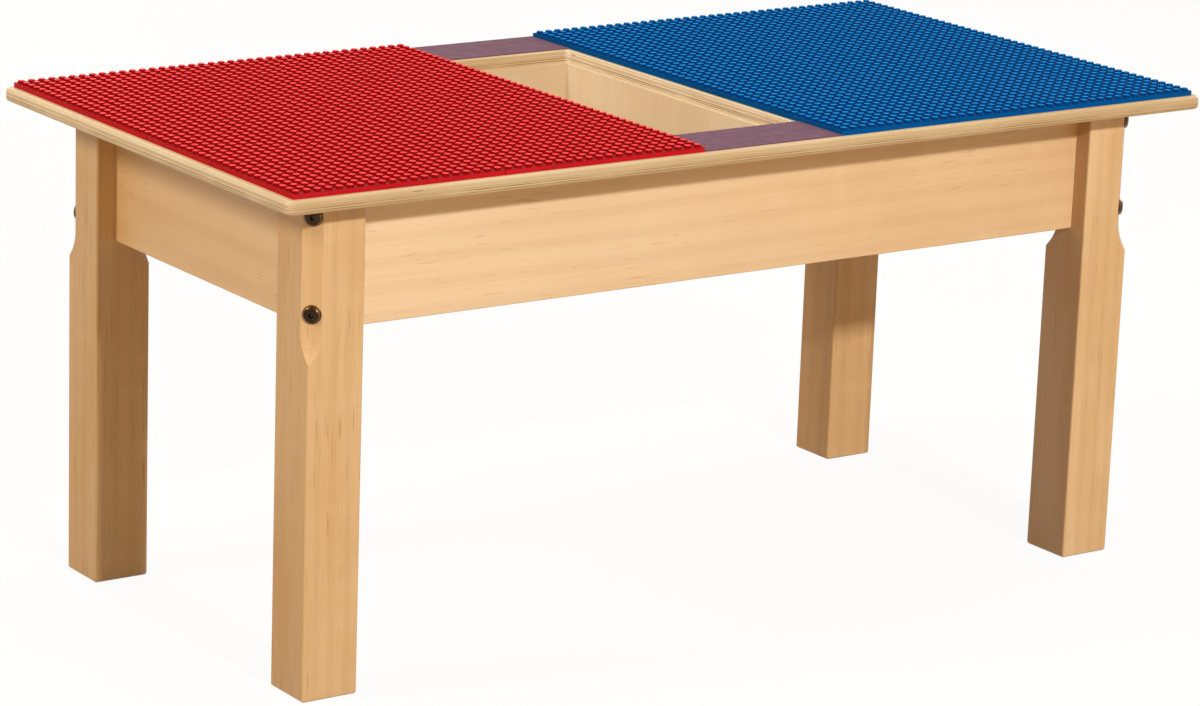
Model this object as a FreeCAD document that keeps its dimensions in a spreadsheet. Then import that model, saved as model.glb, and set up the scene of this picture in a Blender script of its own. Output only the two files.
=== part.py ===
import FreeCAD, Part
import math
import operator
import os
from types import SimpleNamespace

import Sketcher

# Driving dimensions, in millimetres
DRIVING = {
    # plywood top, with the height of its upper face above the floor
    "top_length": 768,
    "top_width": 394,
    "top_thickness": 10,
    "table_height": 350,
    "top_corner_radius": 6,
    "top_edge_round": 3,
    # storage bin under the cut-out: inside length, and how far its walls show past the plywood
    "bin_length": 106,
    "bin_ledge": 2,
    "bin_wall": 10,
    "bin_floor": 6,
    "bin_floor_recess": 3,
    "bin_floor_clearance": 0.5,
    "well_corner_radius": 3.5,
    "well_edge_round": 1.2,
    # square legs, set in from the edge of the top
    "leg_side": 42,
    "leg_edge_round": 1.7,
    "leg_foot_chamfer": 1.2,
    "overhang_ends": 35,
    "overhang_sides": 32,
    # corner flats at the head of a leg, measured along its faces, and the cutter that made them
    "head_flat": 10.2,
    "inner_flat": 12,
    "flat_below_bolt": 12,
    "runout_radius": 34,
    # aprons between the legs
    "apron_thickness": 13,
    "apron_height": 91,
    "apron_setback": 14.7,
    "apron_edge_round": 1.2,
    # corner blocks behind the legs
    "block_thickness": 20,
    "block_lift": 3,
    "block_screw_inset": 20,
    "block_screw_seat": 5,
    "block_screw_low": 32,
    "block_screw_rise": 26,
    "block_bore": 9,
    # leg bolts with domed heads, their washers and nuts
    "bolt_diameter": 6,
    "bolt_clearance": 0.6,
    "bolt_head_diameter": 13,
    "bolt_head_height": 2.7,
    "bolt_head_flat": 6.4,
    "bolt_dome_radius": 4.2,
    "bolt_socket": 4,
    "bolt_socket_depth": 2,
    "bolt_drop": 11.5,
    "bolt_spacing": 65,
    "bolt_tail": 3,
    "washer_diameter": 13,
    "washer_thickness": 1.4,
    "nut_across_flats": 10,
    "nut_height": 5,
    "thread_clearance": 0.1,
    # wood screws
    "screw_diameter": 4,
    "screw_head_diameter": 8,
    "screw_head_height": 2.6,
    "screw_tip": 4,
    "screw_clearance": 0.2,
    "screw_bite": 7.5,
    "pilot_room": 0.5,
    # dowels between bin walls and aprons
    "dowel_diameter": 6,
    "dowel_length": 24,
    "dowel_bite": 10,
    "dowel_clearance": 0.1,
    "dowel_low": 26,
    "dowel_rise": 40,
    # screws along the bin floor
    "floor_screw_reach": 90,
    # cleats that hold the top down
    "cleat_side": 17,
    "cleat_gap": 8,
    "cleat_screw_inset": 34,
    "cleat_side_screw_inset": 66,
    # stud plates
    "stud_pitch": 8,
    "stud_diameter": 4.9,
    "stud_height": 1.8,
    "plate_thickness": 3.2,
    "plate_margin": 4.5,
    "plate_lip": 3,
    "plate_gap": 0.3,
    # laminate strips between the two halves
    "trim_thickness": 0.8,
    "trim_gap": 0.4,
}
FLOOR_SCREWS = 3
PLATES_ALONG = 2
NEAR = 0.001


class Size:
    """A length with its value and its formula on the sheet."""

    def __init__(self, number, formula):
        self.number = number
        self.formula = formula

    def __add__(self, other):
        return combined(self, "+", other)

    def __radd__(self, other):
        return combined(other, "+", self)

    def __sub__(self, other):
        return combined(self, "-", other)

    def __rsub__(self, other):
        return combined(other, "-", self)

    def __mul__(self, other):
        return combined(self, "*", other)

    def __rmul__(self, other):
        return combined(other, "*", self)

    def __truediv__(self, other):
        return combined(self, "/", other)

    def __neg__(self):
        return combined(-1, "*", self)


SIGNS = {"+": operator.add, "-": operator.sub, "*": operator.mul, "/": operator.truediv}


def as_size(value):
    return value if isinstance(value, Size) else Size(value, repr(value))


def combined(left, sign, right):
    left = as_size(left)
    right = as_size(right)
    return Size(SIGNS[sign](left.number, right.number), f"({left.formula} {sign} {right.formula})")


def whole(size):
    return Size(math.floor(size.number + NEAR), f"floor({size.formula} + {NEAR})")


doc = FreeCAD.newDocument("play_table")
sheet = doc.addObject("Spreadsheet::Sheet", "sizes")
for line, (name, number) in enumerate(DRIVING.items(), start=1):
    sheet.set(f"A{line}", name)
    sheet.set(f"B{line}", str(number))
    sheet.setAlias(f"B{line}", name)
doc.recompute()
d = SimpleNamespace(**{name: Size(number, f"sizes.{name}") for name, number in DRIVING.items()})
ROOT_TWO = Size(math.sqrt(2), "sqrt(2)")

# Places that several pieces share
half_length = d.top_length / 2
half_width = d.top_width / 2
leg_height = d.table_height - d.top_thickness
leg_x = half_length - d.overhang_ends - d.leg_side / 2
leg_y = half_width - d.overhang_sides - d.leg_side / 2
apron_bottom = leg_height - d.apron_height
apron_face_x = half_length - d.overhang_ends - d.apron_setback
apron_face_y = half_width - d.overhang_sides - d.apron_setback
apron_inside_y = apron_face_y - d.apron_thickness
apron_inside_x = apron_face_x - d.apron_thickness
block_bottom = apron_bottom + d.block_lift
bolt_high = leg_height - d.bolt_drop
bolt_low = bolt_high - d.bolt_spacing
head_flat_bottom = bolt_low - d.flat_below_bolt
bolt_hole = d.bolt_diameter + d.bolt_clearance
screw_hole = d.screw_diameter + d.screw_clearance
pilot_depth = d.screw_bite + d.pilot_room

# Along a leg's diagonal, from its axis: the two flats, the far face of the block and the bolt's end
head_face = (d.leg_side - d.head_flat) / ROOT_TWO
inner_face = (d.leg_side - d.inner_flat) / ROOT_TWO
block_back = inner_face + d.block_thickness
bolt_end = block_back + d.washer_thickness + d.nut_height + d.bolt_tail

# Bin and the plywood cut-out above it
bin_half = d.bin_length / 2
well_half_x = bin_half + d.bin_ledge
well_half_y = apron_inside_y + d.bin_ledge
bin_wall_middle = bin_half + d.bin_wall / 2
bin_floor_bottom = apron_bottom + d.bin_floor_recess
bin_wall_bottom = bin_floor_bottom + d.bin_floor
floor_screw_step = 2 * d.floor_screw_reach / (FLOOR_SCREWS - 1)
floor_screw_places = [place * floor_screw_step - d.floor_screw_reach for place in range(FLOOR_SCREWS)]

# Corner block section, from the axis of its leg
block_near = d.apron_setback + d.apron_thickness - d.leg_side / 2
block_front_sum = d.leg_side - d.inner_flat
block_back_sum = block_front_sum + d.block_thickness * ROOT_TWO
block_reach = block_back_sum - block_near
block_screw_place = d.leg_side / 2 + d.block_screw_inset

# Cleats along the front and rear aprons, on the left half
cleat_outer = leg_x - block_reach - d.cleat_gap
cleat_inner = bin_half + d.bin_wall + d.cleat_gap
cleat_length = cleat_outer - cleat_inner
cleat_middle_y = apron_inside_y - d.cleat_side / 2
cleat_middle_z = leg_height - d.cleat_side / 2

# Stud plates
plate_start = well_half_x + d.plate_lip
plate_room_x = half_length - plate_start - d.plate_margin - d.plate_gap
plate_room_y = half_width - d.plate_margin - d.plate_gap / 2
stud_columns = whole(plate_room_x / PLATES_ALONG / d.stud_pitch)
stud_rows = whole(plate_room_y / d.stud_pitch)
plate_length = stud_columns * d.stud_pitch
plate_width = stud_rows * d.stud_pitch

nodes = []


def new_body(label, x=0, y=0, z=0, turn=0):
    body = doc.addObject("PartDesign::Body", label)
    body.Label = label
    body.Placement = FreeCAD.Placement(FreeCAD.Vector(), FreeCAD.Rotation(FreeCAD.Vector(0, 0, 1), turn))
    for axis, place in zip("xyz", (x, y, z)):
        body.setExpression(f"Placement.Base.{axis}", as_size(place).formula)
    return body


def node(body):
    nodes.append(body)
    return body


def origin(body, role):
    return [feature for feature in body.Origin.OriginFeatures if feature.Role == role][0]


def sketch_at(body, role, name, x=0, y=0, z=0, axis=(0, 1, 0), turn=0):
    """A sketch on an origin plane, moved to a point of the body and turned in the plane's own frame."""
    sketch = body.newObject("Sketcher::SketchObject", f"{body.Name}_{name}")
    sketch.AttachmentSupport = (origin(body, role), [""])
    sketch.MapMode = "FlatFace"
    rotation = FreeCAD.Rotation(FreeCAD.Vector(*axis), turn)
    sketch.AttachmentOffset = FreeCAD.Placement(FreeCAD.Vector(), rotation)
    own = {"XY_Plane": (x, y, z), "XZ_Plane": (x, z, -as_size(y)), "YZ_Plane": (y, z, x)}[role]
    for letter, place in zip("xyz", own):
        sketch.setExpression(f"AttachmentOffset.Base.{letter}", as_size(place).formula)
    return sketch


def bind(sketch, kind, *arguments, size):
    index = sketch.addConstraint(Sketcher.Constraint(kind, *arguments, size.number))
    sketch.setExpression(f"Constraints[{index}]", size.formula)


def pin(sketch, geometry, position, x, y):
    for kind, line, size in (("DistanceX", -2, as_size(x)), ("DistanceY", -1, as_size(y))):
        if abs(size.number) < NEAR:
            sketch.addConstraint(Sketcher.Constraint("PointOnObject", geometry, position, line))
        else:
            bind(sketch, kind, -1, 1, geometry, position, size=size)


def arc_between(start, finish, radius, left):
    """The short arc from start to finish, with its centre on the left or the right of that way."""
    way = finish - start
    across = FreeCAD.Vector(-way.y, way.x, 0).normalize()
    height = math.sqrt(max(radius ** 2 - (way.Length / 2) ** 2, 0))
    centre = (start + finish) / 2 + across * (height if left else -height)
    circle = Part.Circle(centre, FreeCAD.Vector(0, 0, 1), radius)
    first, last = (start, finish) if left else (finish, start)
    return Part.ArcOfCircle(circle, circle.parameter(first), circle.parameter(last))


def outline(sketch, corners):
    """A closed outline. A corner with a radius and a side starts an arc, any other a straight line."""
    points = [FreeCAD.Vector(as_size(corner[0]).number, as_size(corner[1]).number, 0) for corner in corners]
    ends = []
    for place, corner in enumerate(corners):
        start = points[place]
        finish = points[(place + 1) % len(points)]
        if len(corner) == 2:
            ends.append((sketch.addGeometry(Part.LineSegment(start, finish)), 1, 2))
            continue
        radius, side = corner[2:]
        arc = sketch.addGeometry(arc_between(start, finish, radius.number, side == "left"))
        ends.append((arc, 1, 2) if side == "left" else (arc, 2, 1))
    for place, (geometry, first, last) in enumerate(ends):
        before = ends[place - 1]
        sketch.addConstraint(Sketcher.Constraint("Coincident", before[0], before[2], geometry, first))
    for corner, (geometry, first, last) in zip(corners, ends):
        pin(sketch, geometry, first, corner[0], corner[1])
    for corner, (geometry, first, last) in zip(corners, ends):
        if len(corner) > 2:
            bind(sketch, "Radius", geometry, size=corner[2])


def rectangle(sketch, low_x, low_y, high_x, high_y):
    outline(sketch, [(low_x, low_y), (high_x, low_y), (high_x, high_y), (low_x, high_y)])


def hexagon(sketch, across_flats):
    reach = across_flats / math.sqrt(3)
    angles = [math.radians(60 * side) for side in range(6)]
    outline(sketch, [(reach * round(math.cos(a), 12), reach * round(math.sin(a), 12)) for a in angles])


def circles(sketch, diameter, centres):
    for x, y in centres:
        start = FreeCAD.Vector(as_size(x).number, as_size(y).number, 0)
        circle = sketch.addGeometry(Part.Circle(start, FreeCAD.Vector(0, 0, 1), diameter.number / 2))
        pin(sketch, circle, 3, x, y)
        bind(sketch, "Diameter", circle, size=diameter)


def pad(body, sketch, length, backwards=False):
    feature = body.newObject("PartDesign::Pad", f"{sketch.Name}_pad")
    feature.Profile = sketch
    feature.Reversed = backwards
    feature.setExpression("Length", length.formula)
    doc.recompute()
    return feature


def pocket(body, sketch, depth=None, backwards=False):
    """Cuts against the sketch's normal, or along it when backwards; no depth cuts both ways through all."""
    before = body.Shape.Volume
    feature = body.newObject("PartDesign::Pocket", f"{sketch.Name}_cut")
    feature.Profile = sketch
    feature.Reversed = backwards
    if depth is None:
        feature.SideType = "Symmetric"
        feature.Type = "ThroughAll"
    else:
        feature.setExpression("Length", depth.formula)
    doc.recompute()
    if body.Shape.Volume >= before - NEAR:
        raise ValueError(f"{feature.Name} cuts nothing")
    return feature


def soften(body, kind, size, wanted):
    """Rounds or bevels the edges of the body's last feature that the test picks."""
    base = body.Tip
    picked = [f"Edge{place}" for place, edge in enumerate(base.Shape.Edges, start=1) if wanted(edge)]
    feature = body.newObject(f"PartDesign::{kind}", f"{base.Name}_{kind.lower()}")
    feature.Base = (base, picked)
    feature.setExpression("Radius" if kind == "Fillet" else "Size", size.formula)
    doc.recompute()
    return feature


def level(edge, height):
    return abs(edge.BoundBox.ZMin - height) < NEAR and abs(edge.BoundBox.ZMax - height) < NEAR


def upright(edge):
    return edge.BoundBox.XLength < NEAR and edge.BoundBox.YLength < NEAR


def inside(edge, reach_x, reach_y):
    box = edge.BoundBox
    return max(-box.XMin, box.XMax) < reach_x + NEAR and max(-box.YMin, box.YMax) < reach_y + NEAR


def repeated(body, features, *steps):
    """Repeats features by mirrors in the middle planes and by rows, which may leave separate solids."""
    multi = body.newObject("PartDesign::MultiTransform", f"{body.Name}_repeat")
    multi.Originals = features
    transforms = []
    for place, step in enumerate(steps):
        if step[0] == "mirror":
            transform = body.newObject("PartDesign::Mirrored", f"{body.Name}_mirror_{place}")
            transform.MirrorPlane = (origin(body, step[1]), [""])
        else:
            transform = body.newObject("PartDesign::LinearPattern", f"{body.Name}_row_{place}")
            transform.Direction = (origin(body, step[1]), [""])
            transform.setExpression("Length", step[2].formula)
            transform.Occurrences = step[3]
        transforms.append(transform)
    multi.Transformations = transforms
    body.Tip = multi
    doc.recompute()


FOUR_CORNERS = (("mirror", "YZ_Plane"), ("mirror", "XZ_Plane"))


def turned(body, sketch, corners):
    """A solid turned about the sketch's own x axis."""
    outline(sketch, corners)
    feature = body.newObject("PartDesign::Revolution", f"{sketch.Name}_turned")
    feature.Profile = sketch
    feature.ReferenceAxis = (sketch, ["H_Axis"])
    doc.recompute()
    return feature


def screw(body, sketch, length):
    """A pan-head wood screw: the underside of its head lies at the sketch's origin, its tip along x."""
    shank = d.screw_diameter / 2
    rim = d.screw_head_diameter / 2
    corners = [(-d.screw_head_height, 0), (-d.screw_head_height, shank), (-d.screw_head_height / 2, rim)]
    corners += [(0, rim), (0, shank), (length - d.screw_tip, shank), (length, 0)]
    return turned(body, sketch, corners)


def tabletop():
    body = node(new_body("tabletop", z=leg_height))
    panel = sketch_at(body, "XY_Plane", "panel")
    rectangle(panel, -half_length, -half_width, half_length, half_width)
    pad(body, panel, d.top_thickness)
    soften(body, "Fillet", d.top_corner_radius, upright)
    thickness = d.top_thickness.number
    soften(body, "Fillet", d.top_edge_round, lambda edge: level(edge, 0) or level(edge, thickness))
    well = sketch_at(body, "XY_Plane", "well")
    rectangle(well, -well_half_x, -well_half_y, well_half_x, well_half_y)
    pocket(body, well)
    reach = (well_half_x.number, well_half_y.number)
    soften(body, "Fillet", d.well_corner_radius, lambda edge: upright(edge) and inside(edge, *reach))
    soften(body, "Fillet", d.well_edge_round, lambda edge: level(edge, thickness) and inside(edge, *reach))
    pilots = sketch_at(body, "XY_Plane", "pilots")
    ends = (cleat_inner + d.cleat_screw_inset, cleat_outer - d.cleat_screw_inset)
    circles(pilots, screw_hole, [(i * x, j * cleat_middle_y) for x in ends for i in (1, -1) for j in (1, -1)])
    pocket(body, pilots, pilot_depth, backwards=True)


def leg(label, side_x, side_y, turn):
    """A leg whose chamfered outer corner points to -x, -y before it is turned into its corner."""
    body = node(new_body(label, side_x * leg_x, side_y * leg_y, 0, turn))
    half = d.leg_side / 2
    section = sketch_at(body, "XY_Plane", "section")
    rectangle(section, -half, -half, half, half)
    pad(body, section, leg_height)
    soften(body, "Fillet", d.leg_edge_round, upright)
    soften(body, "Chamfer", d.leg_foot_chamfer, lambda edge: level(edge, 0))
    beyond = leg_height + d.leg_side
    radius = d.runout_radius
    outer = sketch_at(body, "XZ_Plane", "outer_flat", turn=45)
    far = -head_face - radius
    corners = [(far, head_flat_bottom - radius, radius, "left"), (-head_face, head_flat_bottom)]
    outline(outer, corners + [(-head_face, beyond), (far, beyond)])
    pocket(body, outer)
    inner = sketch_at(body, "XZ_Plane", "inner_flat", turn=45)
    far = inner_face + radius
    corners = [(inner_face, block_bottom, radius, "left"), (far, block_bottom - radius)]
    outline(inner, corners + [(far, beyond), (inner_face, beyond)])
    pocket(body, inner)
    bores = sketch_at(body, "YZ_Plane", "bolt_bores", turn=45)
    circles(bores, bolt_hole, [(0, bolt_low), (0, bolt_high)])
    pocket(body, bores)


def corner_block(label, side_x, side_y, turn):
    body = node(new_body(label, side_x * leg_x, side_y * leg_y, block_bottom, turn))
    near = block_near
    front = block_front_sum - near
    section = sketch_at(body, "XY_Plane", "section")
    outline(section, [(front, near), (block_reach, near), (near, block_reach), (near, front)])
    pad(body, section, leg_height - block_bottom)
    bores = sketch_at(body, "YZ_Plane", "bolt_bores", turn=45)
    circles(bores, bolt_hole, [(0, bolt_low - block_bottom), (0, bolt_high - block_bottom)])
    pocket(body, bores)
    low = d.block_screw_low - d.block_lift
    levels = (low, low + d.block_screw_rise)
    seat = near + d.block_screw_seat
    for role, place, backwards in (("XZ_Plane", {"y": seat}, False), ("YZ_Plane", {"x": seat}, True)):
        centres = [(block_screw_place, height) for height in levels]
        holes = sketch_at(body, role, f"{role[0].lower()}_screw_holes")
        circles(holes, screw_hole, centres)
        pocket(body, holes)
        sinks = sketch_at(body, role, f"{role[0].lower()}_screw_seats", **place)
        circles(sinks, d.block_bore, centres)
        pocket(body, sinks, block_reach, backwards)


def apron(label, half, place, turn, carries_bin):
    """A board with its outer face at y = 0 and its inner face at y = thickness before it is turned."""
    body = node(new_body(label, *place, apron_bottom, turn))
    face = sketch_at(body, "XZ_Plane", "face")
    rectangle(face, -half, 0, half, d.apron_height)
    pad(body, face, d.apron_thickness, backwards=True)
    run = half.number
    soften(body, "Fillet", d.apron_edge_round, lambda edge: level(edge, 0) and edge.BoundBox.XLength > run)
    pilots = sketch_at(body, "XZ_Plane", "pilots", y=d.apron_thickness)
    levels = (d.block_screw_low, d.block_screw_low + d.block_screw_rise)
    end = half - d.block_screw_inset
    centres = [(side * end, height) for side in (1, -1) for height in levels]
    if carries_bin:
        ends = (cleat_inner + d.cleat_side_screw_inset, cleat_outer - d.cleat_side_screw_inset)
        height = d.apron_height - d.cleat_side / 2
        centres += [(side * x, height) for side in (1, -1) for x in ends]
    circles(pilots, screw_hole, centres)
    pocket(body, pilots, pilot_depth, backwards=True)
    if carries_bin:
        sockets = sketch_at(body, "XZ_Plane", "dowel_sockets", y=d.apron_thickness)
        levels = (d.dowel_low, d.dowel_low + d.dowel_rise)
        centres = [(side * bin_wall_middle, height) for side in (1, -1) for height in levels]
        circles(sockets, d.dowel_diameter + d.dowel_clearance, centres)
        pocket(body, sockets, d.dowel_bite + d.pilot_room, backwards=True)


def bin_wall(label, side):
    body = node(new_body(label, side * bin_wall_middle, 0, bin_wall_bottom))
    half = d.bin_wall / 2
    section = sketch_at(body, "XY_Plane", "section")
    rectangle(section, -half, -apron_inside_y, half, apron_inside_y)
    pad(body, section, leg_height - bin_wall_bottom)
    low = apron_bottom + d.dowel_low - bin_wall_bottom
    levels = ((0, low), (0, low + d.dowel_rise))
    depth = d.dowel_length - d.dowel_bite + d.pilot_room
    for name, end, backwards in (("front", -apron_inside_y, False), ("rear", apron_inside_y, True)):
        sockets = sketch_at(body, "XZ_Plane", f"{name}_dowel_sockets", y=end)
        circles(sockets, d.dowel_diameter + d.dowel_clearance, levels)
        pocket(body, sockets, depth, backwards)
    pilots = sketch_at(body, "XY_Plane", "pilots")
    circles(pilots, screw_hole, [(0, place) for place in floor_screw_places])
    pocket(body, pilots, pilot_depth, backwards=True)


def bin_floor():
    body = node(new_body("bin_floor", 0, 0, bin_floor_bottom))
    half_x = bin_half + d.bin_wall
    half_y = apron_inside_y - d.bin_floor_clearance
    section = sketch_at(body, "XY_Plane", "section")
    rectangle(section, -half_x, -half_y, half_x, half_y)
    pad(body, section, d.bin_floor)
    holes = sketch_at(body, "XY_Plane", "screw_holes")
    circles(holes, screw_hole, [(side * bin_wall_middle, y) for side in (1, -1) for y in floor_screw_places])
    pocket(body, holes)


def cleat(label, side_x, side_y):
    """A batten in the corner between the top and a long apron."""
    middle = side_x * (cleat_inner + cleat_length / 2)
    body = node(new_body(label, middle, side_y * cleat_middle_y, cleat_middle_z))
    half = d.cleat_side / 2
    section = sketch_at(body, "YZ_Plane", "section", x=-cleat_length / 2)
    rectangle(section, -half, -half, half, half)
    pad(body, section, cleat_length)
    for role, inset in (("XY_Plane", d.cleat_screw_inset), ("XZ_Plane", d.cleat_side_screw_inset)):
        reach = cleat_length / 2 - inset
        holes = sketch_at(body, role, f"{role[:2].lower()}_screw_holes")
        circles(holes, screw_hole, [(-reach, 0), (reach, 0)])
        pocket(body, holes)


def leg_bolts():
    body = node(new_body("leg_bolts"))
    place = {"x": -leg_x, "y": -leg_y, "z": bolt_low}
    profile = sketch_at(body, "XZ_Plane", "profile", turn=45, **place)
    seat = -head_face
    crown = seat - d.bolt_head_height
    shank = d.bolt_diameter / 2
    corners = [(crown, 0), (crown, d.bolt_head_flat / 2, d.bolt_dome_radius, "right")]
    corners += [(seat, d.bolt_head_diameter / 2), (seat, shank), (bolt_end, shank), (bolt_end, 0)]
    shape = turned(body, profile, corners)
    out = crown / ROOT_TWO
    place = {"x": out - leg_x, "y": out - leg_y, "z": bolt_low}
    socket = sketch_at(body, "YZ_Plane", "socket", turn=45, **place)
    hexagon(socket, d.bolt_socket)
    cut = pocket(body, socket, d.bolt_socket_depth, backwards=True)
    repeated(body, [shape, cut], *FOUR_CORNERS, ("row", "Z_Axis", d.bolt_spacing, 2))


def behind_block(label, start, thickness, draw):
    """Pieces threaded on the bolts behind the corner blocks, drawn square to the bolts."""
    body = node(new_body(label))
    out = start / ROOT_TWO
    section = sketch_at(body, "YZ_Plane", "section", turn=45, x=out - leg_x, y=out - leg_y, z=bolt_low)
    draw(section)
    shape = pad(body, section, thickness)
    repeated(body, [shape], *FOUR_CORNERS, ("row", "Z_Axis", d.bolt_spacing, 2))


def washer_outline(sketch):
    circles(sketch, d.washer_diameter, [(0, 0)])
    circles(sketch, bolt_hole, [(0, 0)])


def nut_outline(sketch):
    hexagon(sketch, d.nut_across_flats)
    circles(sketch, d.bolt_diameter + d.thread_clearance, [(0, 0)])


def corner_block_screws():
    body = node(new_body("corner_block_screws"))
    height = apron_bottom + d.block_screw_low
    length = d.block_screw_seat + d.screw_bite
    along_x = {"x": block_screw_place - leg_x, "y": d.block_screw_seat - apron_inside_y, "z": height}
    along_y = {"x": d.block_screw_seat - apron_inside_x, "y": block_screw_place - leg_y, "z": height}
    first = screw(body, sketch_at(body, "YZ_Plane", "long_side", turn=180, **along_x), length)
    second = screw(body, sketch_at(body, "XZ_Plane", "short_side", turn=180, **along_y), length)
    repeated(body, [first, second], *FOUR_CORNERS, ("row", "Z_Axis", d.block_screw_rise, 2))


def cleat_screws():
    length = d.cleat_side + d.screw_bite
    body = node(new_body("cleat_apron_screws"))
    seat = d.cleat_side - apron_inside_y
    place = {"x": d.cleat_side_screw_inset - cleat_outer, "y": seat, "z": cleat_middle_z}
    shape = screw(body, sketch_at(body, "YZ_Plane", "profile", turn=180, **place), length)
    apart = cleat_length - 2 * d.cleat_side_screw_inset
    repeated(body, [shape], ("row", "X_Axis", apart, 2), *FOUR_CORNERS)
    body = node(new_body("cleat_top_screws"))
    place = {"x": d.cleat_screw_inset - cleat_outer, "y": -cleat_middle_y, "z": leg_height - d.cleat_side}
    shape = screw(body, sketch_at(body, "XZ_Plane", "profile", axis=(0, 0, 1), turn=90, **place), length)
    apart = cleat_length - 2 * d.cleat_screw_inset
    repeated(body, [shape], ("row", "X_Axis", apart, 2), *FOUR_CORNERS)


def bin_floor_screws():
    body = node(new_body("bin_floor_screws"))
    place = {"x": -bin_wall_middle, "y": -d.floor_screw_reach, "z": bin_floor_bottom}
    profile = sketch_at(body, "XZ_Plane", "profile", axis=(0, 0, 1), turn=90, **place)
    shape = screw(body, profile, d.bin_floor + d.screw_bite)
    row = ("row", "Y_Axis", 2 * d.floor_screw_reach, FLOOR_SCREWS)
    repeated(body, [shape], row, ("mirror", "YZ_Plane"))


def bin_dowels():
    body = node(new_body("bin_dowels"))
    start = -apron_inside_y - d.dowel_bite
    place = {"x": -bin_wall_middle, "y": start, "z": apron_bottom + d.dowel_low}
    section = sketch_at(body, "XZ_Plane", "section", **place)
    circles(section, d.dowel_diameter, [(0, 0)])
    shape = pad(body, section, d.dowel_length, backwards=True)
    repeated(body, [shape], *FOUR_CORNERS, ("row", "Z_Axis", d.dowel_rise, 2))


def stud_plate_master():
    """One plate, built a column of studs at a time, with its corner at the origin."""
    body = new_body("stud_plate_master")
    column = sketch_at(body, "XY_Plane", "column")
    rectangle(column, 0, 0, d.stud_pitch, plate_width)
    pad(body, column, d.plate_thickness)
    ring = sketch_at(body, "XY_Plane", "stud", z=d.plate_thickness)
    circles(ring, d.stud_diameter, [(d.stud_pitch / 2, d.stud_pitch / 2)])
    stud = pad(body, ring, d.stud_height)
    for name, axis, count in (("column", "Y_Axis", stud_rows), ("field", "X_Axis", stud_columns)):
        pattern = body.newObject("PartDesign::LinearPattern", f"stud_{name}")
        if name == "column":
            pattern.Originals = [stud]
        else:
            pattern.TransformMode = "Whole shape"
        pattern.Refine = False
        pattern.Direction = (origin(body, axis), [""])
        pattern.setExpression("Length", ((count - 1) * d.stud_pitch).formula)
        pattern.setExpression("Occurrences", count.formula)
        body.Tip = pattern
        doc.recompute()
    return body


def stud_plates():
    master = stud_plate_master()
    step = plate_length + d.plate_gap
    rows = {"front": -plate_width - d.plate_gap / 2, "rear": d.plate_gap / 2}
    columns = {
        "red": {"outer": -plate_start - step - plate_length, "inner": -plate_start - plate_length},
        "blue": {"inner": plate_start, "outer": plate_start + step},
    }
    for colour, places in columns.items():
        for row, y in rows.items():
            for column, x in places.items():
                body = node(new_body(f"{colour}_plate_{row}_{column}", x, y, d.table_height))
                copy = body.newObject("PartDesign::FeatureBase", f"{body.Name}_copy")
                copy.BaseFeature = master
                body.Tip = copy
    doc.recompute()


def trim_strip(label, side):
    body = node(new_body(label, 0, 0, d.table_height))
    half = plate_start - d.trim_gap
    edges = (side * (well_half_y + d.plate_lip), side * (plate_width + d.plate_gap / 2))
    low, high = sorted(edges, key=lambda edge: edge.number)
    section = sketch_at(body, "XY_Plane", "section")
    rectangle(section, -half, low, half, high)
    pad(body, section, d.trim_thickness)


# Sides along x and y, and the turn that points a leg's outer corner that way
CORNERS = {
    "front_left": (-1, -1, 0),
    "front_right": (1, -1, 90),
    "rear_right": (1, 1, 180),
    "rear_left": (-1, 1, 270),
}

tabletop()
for corner, where in CORNERS.items():
    leg(f"leg_{corner}", *where)
for corner, where in CORNERS.items():
    corner_block(f"corner_block_{corner}", *where)
long_half = leg_x - d.leg_side / 2
short_half = leg_y - d.leg_side / 2
apron("front_apron", long_half, (0, -apron_face_y), 0, True)
apron("rear_apron", long_half, (0, apron_face_y), 180, True)
apron("left_apron", short_half, (-apron_face_x, 0), 270, False)
apron("right_apron", short_half, (apron_face_x, 0), 90, False)
bin_wall("bin_left_wall", -1)
bin_wall("bin_right_wall", 1)
bin_floor()
for corner, (side_x, side_y, turn) in CORNERS.items():
    cleat(f"top_cleat_{corner}", side_x, side_y)
leg_bolts()
behind_block("bolt_washers", block_back, d.washer_thickness, washer_outline)
behind_block("bolt_nuts", block_back + d.washer_thickness, d.nut_height, nut_outline)
corner_block_screws()
cleat_screws()
bin_floor_screws()
bin_dowels()
stud_plates()
trim_strip("front_trim_strip", -1)
trim_strip("rear_trim_strip", 1)
doc.recompute()

failed = [thing.Name for thing in doc.Objects if {"Invalid", "Error"} & set(thing.State)]
failed += [body.Label for body in nodes if body.Shape.isNull() or not body.Shape.isValid()]
if failed:
    raise ValueError("not sound: " + ", ".join(failed))

os.makedirs("parts", exist_ok=True)
for body in nodes:
    body.Shape.exportStep(f"parts/{body.Label}.step")
    print(body.Label, len(body.Shape.Solids), round(body.Shape.Volume / 1000, 2), "cm3")
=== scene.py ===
import functools
import math
from types import SimpleNamespace

import bmesh
import bpy
from mathutils import Euler, Matrix, Vector


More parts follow.
